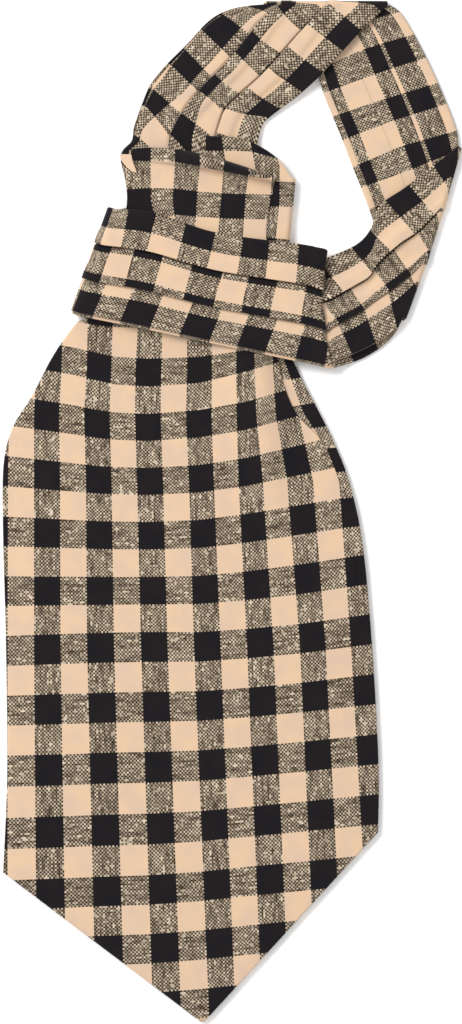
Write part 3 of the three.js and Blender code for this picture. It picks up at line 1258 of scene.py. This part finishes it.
    def grid_at(self, row: BladeRow, knot: Knot, y: float) -> CheckGrid:
        """Chooses the grid that a point reads its check from.

        Args:
            row: the point's section.
            knot: the point.
            y: how far up it is.

        Returns:
            The grid.
        """
        if self.knot_grid and y > self.knot_from:
            return self.knot_grid
        folded = self.margin and knot.strip == 1 and row.tuck > self.fold_least
        return self.margin if folded else self.grid

    def add_flap(self, mesh: bmesh.types.BMesh, flap: Flap) -> None:
        """Adds a flap to a mesh.

        Args:
            mesh: the mesh that grows.
            flap: the flap.
        """
        rows = flap.stations()
        loop = flap.section()

        def place(column: int, index: int) -> tuple[Vector, Pair]:
            """Places a point of the flap.

            Args:
                column: which point of its section it is.
                index: which station it is at.

            Returns:
                The point in millimetres, and its check counts.
            """
            spot = raised(rows, index, *loop[column])
            return spot, flap.grid.counts(spot.x, spot.y)

        self.loft(mesh, len(loop), len(rows), place)


@dataclass(frozen=True)
class Studio:
    """A pale table under soft light, and a camera straight over it."""

    board: WhiteBoard = WhiteBoard()
    lens: float = 200.0  # in millimetres, as is the sensor
    sensor: float = 36.0
    aim: tuple[float, float, float] = (-0.42, 0.0, 4.0)  # what the camera looks down at
    lamp_at: tuple[float, float, float] = (-1.1, 0.8, 1.5)  # in metres
    lamp_size: float = 0.9  # in metres, as are the table's size and how far the camera sees
    lamp_power: float = 31.0
    sky_power: float = 0.865
    table_size: float = 3.0
    far: float = 20.0

    def table(self) -> bpy.types.Object:
        """Lays the table.

        Returns:
            The table's top.
        """
        mesh = bmesh.new()
        bmesh.ops.create_grid(mesh, x_segments=2, y_segments=2, size=self.table_size)
        data = bpy.data.meshes.new("table_top")
        mesh.to_mesh(data)
        mesh.free()
        data.materials.append(self.board.material())
        top = bpy.data.objects.new("table_top", data)
        bpy.context.scene.collection.objects.link(top)
        return top

    def light(self) -> None:
        """Hangs one broad lamp at the upper left and fills the rest with even light."""
        lamp = bpy.data.lights.new("window", "AREA")
        lamp.shape = "DISK"
        lamp.size = self.lamp_size
        lamp.energy = self.lamp_power
        holder = bpy.data.objects.new("window", lamp)
        holder.location = self.lamp_at
        holder.rotation_mode = "QUATERNION"
        holder.rotation_quaternion = (-Vector(holder.location)).to_track_quat("-Z", "Y")
        bpy.context.scene.collection.objects.link(holder)
        world = bpy.data.worlds.new("studio")
        world.use_nodes = True
        sky = world.node_tree.nodes["Background"]
        sky.inputs["Color"].default_value = (1.0, 1.0, 1.0, 1.0)
        sky.inputs["Strength"].default_value = self.sky_power
        bpy.context.scene.world = world
        bpy.context.scene.view_settings.view_transform = "Standard"

    def camera(self) -> bpy.types.Object:
        """Sets the camera so that the picture's height covers 1024 pixels of table.

        Returns:
            The camera.
        """
        data = bpy.data.cameras.new("camera")
        data.lens = self.lens
        data.sensor_width = self.sensor
        height = PICTURE_HEIGHT * PIXEL * MM
        camera = bpy.data.objects.new("camera", data)
        away = Vector((0.0, 0.0, height * self.lens / self.sensor))
        camera.location = Vector(self.aim) * MM + away
        data.clip_end = self.far
        bpy.context.scene.collection.objects.link(camera)
        bpy.context.scene.camera = camera
        return camera


# The band's route, from its tail behind the knot up and round the loop and over the knot.
BAND_ROWS = {
    Limb.LEFT: [
        Row(-43, 74, 4, 74, 1, 1, opened=1),
        Row(-43, 82.5, 5, 82.5, 3.3, 3.3, opened=1),
        Row(-44, 105, 7, 103, 3.3, 3.3, opened=1),
        Row(-44, 134, 9, 127, 3.3, 3.3, first=0.32, second=0.7, opened=1),
        Row(-46.6, 149.5, 10, 142, 3.2, 3.2, pleat=0.2, peek=0.6, first=0.33, second=0.71, opened=1),
        Row(-42, 156, 10, 147, 2.6, 2.6, pleat=0.4, peek=1, first=0.33, second=0.71, opened=1),
        Row(-41, 162, 10, 152, 2.2, 2.2, pleat=0.6, peek=1.2, first=0.336, second=0.7, opened=0.9),
        Row(-37.5, 172, 11.5, 159, 1.7, 1.7, 0, 0.8, 1.6, first=0.336, second=0.665, opened=0.4),
        Row(-34, 180, 13.5, 164, 1.2, 1.3, pleat=1, peek=2.4, first=0.336, second=0.629),
        Row(-27.5, 188, 19.5, 169, 1.2, 1.8, pleat=1, peek=1.9, first=0.34, second=0.63),
        Row(-19.5, 196, 27, 174.5, 1.2, 2.7, pleat=1, peek=1, first=0.345, second=0.64),
        Row(-10.5, 205.6, 35.5, 182, 1.7, 4.2, pleat=1, first=0.355, second=0.66),
        Row(-3, 210.2, 43.5, 190.5, 3.1, 4.7, pleat=0.9, first=0.38, second=0.71),
        Row(5, 212.3, 54, 202, 3.4, 4.5, pleat=0.6, first=0.42, second=0.77),
        Row(13.5, 213.1, 65.3, 213.1, 3.5, 3.5, pleat=0.2, first=0.48, second=0.86),
    ],
    Limb.RIGHT: [
        Row(13.5, 213.1, 65.3, 213.1, 1, 1, first=0.48, second=0.86),
        Row(31, 197, 71.6, 208.8, 1, 1, first=0.4, second=0.75),
        Row(39.1, 174.7, 82.6, 188.8, 1, 1),
        Row(46.2, 157.4, 90.2, 171.3, 1, 1),
        Row(50.3, 146.7, 94.0, 161.3, 1, 1),
        Row(60, 121, 94.8, 157.0, 1, 1, bow=0.5),
        Row(71.3, 80.8, 95, 153.5, 1, 1, bow=1, first=0.35),
    ],
    Limb.LOWER: [
        Row(71.3, 80.8, 95, 153.5, 3.5, 3.5, 1, 0.2, 0.7, 0.35, droop=0.3),
        Row(69, 76.3, 83.5, 144.5, 3.5, 3.5, 0.6, 0.7, 2.2, 0.38, 0.66, stand=1.6, droop=1.2),
        Row(66, 72.6, 72.5, 136, 3.3, 3.5, 0.3, 1, 2.8, 0.365, 0.65, stand=1.9, droop=1.5),
        Row(62, 69, 62, 128.5, 3.2, 3.5, 0, 1, 3.2, 0.39, 0.64, stand=1.9, droop=1.6),
        Row(56, 65.3, 58.5, 119, 3.2, 3.4, 0, 1, 3.6, 0.37, 0.6, stand=1.7, droop=1.6),
        Row(50.5, 62.9, 52.5, 112.3, 3.6, 3.5, 0, 1, 3.6, 0.34, 0.6, stand=1.5, droop=1.6),
        Row(44.5, 61.0, 41.5, 107.3, 5.2, 3.4, -1, 1, 3, 0.38, 0.63, stand=1.5, droop=1.2),
    ],
    Limb.TUCK: [
        Row(44.5, 61.0, 41.5, 107.3, 5.2, 3.4, -1, 1, 3, 0.38, 0.63, stand=1.5, droop=1.2),
        Row(43.6, 60.8, 37.0, 105.7, 5.4, 3.3, -2.6, 1, 2, 0.38, press=0.9, droop=0.6),
        Row(43.1, 60.7, 33.8, 104.8, 5.6, 3.3, -3.3, 1, press=0.6),
        Row(42.9, 60.6, 32.7, 105.2, 5.75, 4.6, -3.4, 1, press=0.35),
        Row(42.7, 60.6, 34.0, 106.2, 5.9, 5.9, -3.5, 1, press=0.2),
        Row(42.4, 60.5, 38.4, 108.8, 6.1, 6.0, -3.6, 1, press=0.2),
        Row(42.1, 60.4, 39.6, 109.7, 6.3, 6.8, -3.6, 1, press=0.6),
        Row(41.6, 60.3, 38.6, 110.3, 6.6, 7.6, -3.2, 1, press=0.9),
        Row(40, 60.6, 35.5, 110.9, 7.2, 7.7, -1.8, 1),
    ],
    Limb.CROSS: [
        Row(40, 60.6, 35.5, 110.9, 7.2, 7.7, -1.8, 1),
        Row(28, 63.2, 28, 112.3, 7.9, 7.6, 0, 1),
        Row(-8.5, 70.8, -6.5, 117, 8.0, 7.6, 0, 1),
        Row(-37, 76.9, -33, 125.4, 8.0, 7.6, 0, 1),
        Row(-64.3, 82.4, -48.6, 126.8, 7.7, 7.6, 0, 1),
    ],
    Limb.WRAP: [
        Row(-64.3, 82.6, -48.6, 126.8, 1, 1),
        Row(-47, 84, -36, 129.5, 1, 1),
        Row(-20, 87.3, -17, 133, 1, 1),
    ],
}

# A limb has a ruler for each of its three visible strips, or one for all of them.
BAND_RULERS = {
    Limb.LEFT: (
        WeftRuler(
            9,
            (
                ((240.3, 135.2), (219.9, 133.9)), ((265.8, 116), (230.7, 111)),
                ((278.6, 108.4), (249.2, 88)), ((299, 89.3), (270.3, 68.9)),
                ((318, 69), (290, 48.2)), ((338, 47), (311, 28)),
                ((358, 28), (332, 7)),
            ),
        ),
        WeftRuler(
            8,
            (
                ((188, 146.7), (170.8, 135.2)), ((212.2, 135.2), (188, 118.6)),
                ((226.3, 113.5), (201.4, 91.8)), ((241.6, 95), (215.4, 75.3)),
                ((260.1, 76.5), (235.8, 52.3)), ((280.5, 52.9), (255, 33.8)),
                ((300, 30), (283.7, 16.6)),
            ),
        ),
        WeftRuler(
            7,
            (
                ((151, 148), (135.1, 135.2)), ((168.2, 135.2), (151, 108.4)),
                ((185.5, 116.7), (156, 90.6)), ((198.2, 91.2), (171.4, 65.1)),
                ((211.6, 77.2), (183.5, 47.8)), ((229.5, 56.1), (202.4, 30)),
                ((251.1, 35.1), (223.1, 13.4)), ((270.7, 15.9), (246, 2)),
            ),
        ),
    ),
    Limb.RIGHT: (
        WeftRuler(
            20,
            (
                ((407, 37.5), (370, 44.5), (320, 68)),
                ((418.5, 61.2), (384, 68), (330.5, 88.8)),
                ((432, 85.7), (397, 92.5), (340.4, 114)),
                ((441, 105.6), (406, 116), (347.3, 137.8)),
                ((451, 132.4), (414, 141.5), (359.5, 163.8)),
                ((457, 151.5), (424, 163.5), (368, 184.4)),
            ),
        ),
    ),
    Limb.LOWER: (
        WeftRuler(
            27,
            (
                ((435.9, 168.3), (448.6, 193.8)), ((412, 189), (434.3, 214.5)),
                ((388.9, 204.1), (411, 229.5)), ((372.1, 232), (387.3, 248)),
                ((351.4, 247.2), (370.5, 271.1)), ((323.5, 268), (341.8, 290.3)),
            ),
        ),
        WeftRuler(
            28,
            (
                ((438, 216), (444, 225)), ((416.8, 229.7), (427, 254)),
                ((393.6, 248.8), (412, 275)), ((376.9, 272.7), (388.9, 290.2)),
                ((351.4, 289.4), (362.5, 307)), ((327.5, 306.2), (341, 326)),
            ),
        ),
        WeftRuler(
            30,
            (
                ((412, 276), (417, 294)), ((389.7, 293.4), (400, 330.1)),
                ((364.1, 307), (376.1, 343.7)), ((341, 329.3), (351.4, 354)),
                ((322.7, 338.9), (324.8, 365.2)),
            ),
        ),
    ),
    Limb.CROSS: (
        WeftRuler(
            34,
            (
                ((326, 248.4), (324.6, 279.9)), ((299, 244.7), (296.5, 277.6)),
                ((269.8, 237.9), (266, 272.4)), ((243.4, 236.7), (238.2, 269.4)),
                ((215.9, 231.9), (209, 261.1)), ((186, 224.4), (178.5, 253.7)),
                ((155.9, 216.4), (148, 246.9)), ((128.5, 210.9), (122.5, 241.7)),
                ((108, 209.9), (99, 237.2)),
            ),
        ),
        WeftRuler(
            35,
            (
                ((307.3, 281.4), (301.3, 312.1)), ((278.1, 277.6), (270.6, 309.1)),
                ((249.6, 273.1), (242.1, 303.9)), ((224.2, 268.6), (214.4, 302.4)),
                ((194.2, 259.6), (184.5, 294.1)), ((164, 252.9), (154.3, 288.1)),
                ((135.5, 245.4), (126, 281.4)), ((113.5, 242.4), (102.5, 273.9)),
                ((84, 239), (72, 266)),
            ),
        ),
        WeftRuler(
            34,
            (
                ((330, 325), (324.8, 365)), ((306.6, 315.8), (296.8, 353.3)),
                ((278.1, 315.1), (266.1, 347.3)), ((249.6, 309.1), (237.6, 342.8)),
                ((222.7, 306.9), (209.9, 340.6)), ((193.7, 300.1), (180.5, 332.3)),
                ((164.3, 292.6), (151, 324.8)), ((134.5, 285.1), (121.5, 317.4)),
                ((107.5, 279.9), (94.5, 311)), ((80, 274), (66, 305)),
            ),
        ),
    ),
    Limb.WRAP: (WeftRuler(44, (((110, 209), (80, 318)), ((215, 195), (190, 305))), step=4),),
}

FRONT_GRID = CheckGrid(
    warp_counts=(0, 2, 4, 6, 8, 10, 12),
    warp=(
        (328, (38, 87.5, 137.7, 187, 236.6, 271, 318)),
        (370, (36, 86.8, 135.5, 187.2, 236.6, 273, 320)),
        (415, (34, 84, 135, 186, 237, 275.5, 322)),
        (480, (34, 86, 137, 189, 238.5, 287, 339)),
        (645, (34, 87, 141, 194, 247, 300, 351)),
        (890, (36, 93, 149, 204, 257, 311, 365)),
    ),
    weft_pixels=(34, 75, 97, 115, 148, 199, 246, 300, 350),
    weft=(
        (4, (292, 296, 299, 300, 300, 299, 298, 290, 280)),
        (5, (316, 321.5, 325.5, 327, 328, 328, 326, 314, 301)),
        (6, (340, 347.7, 352.8, 356.7, 358.8, 357, 350.5, 333, 320)),
        (7, (368, 375, 380.5, 384.5, 386.5, 383, 371.5, 356, 341)),
        (8, (399, 405.5, 410, 412.5, 414, 410, 402, 386, 371)),
        (10, (459, 463.5, 466, 467, 468, 465, 458, 445, 432)),
        (12, (518, 520, 521, 521.5, 522, 520, 514, 505, 497)),
        (16, (635, 633.5, 633, 632.5, 632, 632, 629, 624, 617)),
        (20, (755, 754, 753, 752.5, 752, 750.5, 747, 742, 737)),
        (24, (879.5, 878, 877, 876.5, 875.5, 872, 867, 862, 857)),
        (30, (1058, 1055.5, 1054, 1053.5, 1052, 1048, 1043, 1037, 1033)),
    ),
)

MARGIN_GRID = CheckGrid(
    warp_counts=(10, 12, 14),
    warp=(
        (365, (236, 286, 336)),
        (412, (253, 303, 353)),
        (452, (277, 329, 379)),
        (500, (290, 341, 391)),
        (640, (300, 351, 402)),
    ),
    weft_pixels=(284, 330, 356),
    weft=(
        (6, (354, 345, 340)),
        (7, (380, 374, 370)),
        (8, (408, 400, 396)),
        (9, (432, 426, 422)),
        (10, (453, 448, 445)),
        (11, (480, 473, 470)),
        (12, (506, 500, 497)),
        (16, (626, 620, 616)),
    ),
)

KNOT_GRID = CheckGrid(
    warp_counts=(2, 3, 4, 5, 6, 7, 8),
    warp=(
        (150, (132, 151, 175, 200, 224, 249, 273)),
        (165, (127, 150.7, 175, 200, 224, 249.5, 273)),
        (200, (126, 151, 172.5, 196.8, 221, 245.3, 270)),
        (228, (126, 157, 176, 195.6, 218.6, 243.5, 267)),
    ),
    weft_pixels=(128, 150, 157, 175, 200, 224, 250, 273),
    weft=(
        (-2, (134, 134, 133, 133, 137, 142, 147, 152)),
        (-1, (161, 161.4, 161, 161.5, 165.3, 171, 175.5, 178)),
        (0, (189, 188, 188, 189, 192, 193.5, 194, 194)),
        (1, (229, 228, 221, 215, 217, 218.5, 219.5, 219.5)),
        (2, (258, 257, 250, 244, 244, 246, 247, 247)),
    ),
)

TURNBACK_GRID = CheckGrid(
    warp_counts=(6, 7, 8, 9, 10),
    warp=(
        (140, (196, 222, 250, 271, 298)),
        (165, (198, 226, 255, 279.5, 303)),
        (200, (200, 229, 258, 279.6, 303)),
        (236, (200, 229, 258, 276, 300)),
    ),
    weft_pixels=(207, 250, 290),
    weft=(
        (-2, (121, 121, 136)),
        (-1, (151, 151.5, 162)),
        (0, (180, 181, 182)),
        (1, (206, 206, 207)),
        (2, (236, 236, 240)),
        (3, (266, 266, 268)),
    ),
)

CORNER_GRID = CheckGrid(
    warp_counts=(1, 2),
    warp=((150, (119, 141)), (175, (119, 141))),
    weft_pixels=(119, 141),
    weft=((-1, (150, 150)), (0, (178, 178))),
)

# The cloth comes out behind the knot, turns over at the right, and goes back under the blade.
TURNBACK = Flap(
    limbs=(
        (
            Row(-19.6, 87.4, -16.6, 133.1, 1, 1),
            Row(-3, 93, 0, 137.5, 1, 1),
            Row(12.5, 104, 13, 140, 1, 1),
            Row(21.5, 112.5, 24.3, 139.6, 1, 1),
        ),
        (
            Row(21.8, 112, 24.8, 140.6, 5, 5),
            Row(17, 112, 20, 147.6, 5, 5),
            Row(10, 112, 12, 153.4, 5, 5),
            Row(0, 112, 3, 157, 5, 5),
            Row(-11, 112, -11, 157.9, 5, 5),
        ),
    ),
    thick=0.7,
    grid=TURNBACK_GRID,
)

# A small corner of the cloth pokes out at the left end of the roll over the knot.
CORNER = Flap(
    limbs=(
        (
            Row(-47.0, 150.2, -42.2, 150.0, 6.0, 7.1),
            Row(-46.6, 147.8, -41.6, 147.0, 6.0, 7.1),
            Row(-44.7, 145.3, -40.5, 144.3, 6.4, 7.1),
            Row(-42.2, 142.9, -39.9, 142.2, 6.8, 6.9),
        ),
    ),
    thick=0.6,
    grid=CORNER_GRID,
)

# From the soft roll over the knot, under the cross band, and down the apron to its shoulders.
FRONT_ROWS = [
    BladeRow(-42.0, 152.0, 17.6, 140.7, 5.5, bow=3.8, thick=1.2, lift=2.6),
    BladeRow(-43.0, 150.9, 17.9, 140.3, 5.5, bow=3.3, thick=1.2, lift=5.0, early=-0.1),
    BladeRow(-43.6, 149.7, 17.9, 139.7, 5.5, bow=2.7, thick=1.2, lift=6.1, early=0.3),
    BladeRow(-43.9, 148.5, 17.9, 138.8, 5.5, bow=2.1, thick=1.2, lift=5.9, early=0.95),
    BladeRow(-44.0, 147.6, 17.8, 138.1, 5.5, bow=1.7, thick=1.2, lift=4.1, early=0.9),
    BladeRow(-44.1, 147.2, 17.7, 137.8, 5.0, bow=1.5, thick=1.2, lift=1.5, early=-0.15),
    BladeRow(-44.3, 146.0, 17.4, 136.5, 4.6, bow=1.2, thick=1.2),
    BladeRow(-44.4, 139.0, 16.8, 129.5, 4.5, bow=0.5, thick=1.2),
    BladeRow(-44.2, 128.9, 15.3, 124.5, 4.6, thick=1.2),
    BladeRow(-47.0, 118.0, 14.6, 115.0, 4.8, thick=1.2),
    BladeRow(-52.5, 108, 18, 98, 4.8),
    BladeRow(-60.5, 83.5, 22.3, 71, 2.8, 0, 7.0, 3.0),
    BladeRow(-65.5, 79.3, 27.0, 61, 1.6, 0, 7.1, 4.6),
    BladeRow(-75, 66, 30.2, 54, 1.8, 0, 9.0, 4.6),
    BladeRow(-84.5, 48, 37.4, 40.5, 2.0, 0, 10.2, 4.6),
    BladeRow(-92, 36, 43, 29, 1.75, 0, 5.0, 3.0),
    BladeRow(-96, 20, 49.5, 12, 1.75, 0, 4.4, 0.8),
    BladeRow(-96.2, -10, 55, -14, 1.75, 0, 4.2, 0.0),
    BladeRow(-95, -55, 59, -58, 1.75, 0, 4.2, 0.0),
    BladeRow(-94.5, -110, 61.6, -106, 1.75, 0, 4.2, 0.0),
    BladeRow(-96.2, -151.5, 61.4, -134.5, 1.75, 0, 4.2, 0.0),
]

# The second blade lies hidden under the front one.
BACK_ROWS = [
    BladeRow(-43, 73.6, 4, 73.6, 0, thick=1.4),
    BladeRow(-52, 63, 11, 62, 0, thick=1.4),
    BladeRow(-76.5, 43, 31, 42, 0, thick=1.4),
    BladeRow(-87.5, 24, 43, 22, 0, thick=1.4),
    BladeRow(-91.5, -10, 50, -14, 0, thick=1.4),
    BladeRow(-91, -80, 56, -80, 0, thick=1.4),
    BladeRow(-91.5, -145, 57, -129, 0, thick=1.4),
]


def main() -> None:
    """Builds the tie and its studio, and reports each piece."""
    logging.basicConfig(level=logging.INFO, format="%(name)s: %(message)s")
    studio = Studio()
    studio.camera()
    studio.table()
    studio.light()
    cotton = CheckedCotton().material()
    pieces = [
        NeckBand(
            "neck_band_cloth",
            "neck_band",
            cotton,
            tables=BAND_ROWS,
            rulers=BAND_RULERS,
        ).build(),
        Blade(
            "front_blade_cloth",
            "front_blade",
            cotton,
            rows=FRONT_ROWS,
            tip=(-12.4, -214.2),
            grid=FRONT_GRID,
            margin=MARGIN_GRID,
            knot_grid=KNOT_GRID,
            flaps=(TURNBACK, CORNER),
            crest=Crest(),
            flat=(0.158, 0.362),
            cut_area=0.052,
            rests_on=("back_blade", "neck_band"),
        ).build(),
        Blade(
            "back_blade_cloth",
            "back_blade",
            cotton,
            rows=BACK_ROWS,
            tip=(-13.0, -203.0),
            grid=FRONT_GRID,
            flat=(0.15, 0.277),
            cut_area=0.0345,
            ripple=0.05,
        ).build(),
    ]
    for piece in pieces:
        LOG.info("%s: %d faces", piece.name, len(piece.data.polygons))


if __name__ == "__main__":
    main()
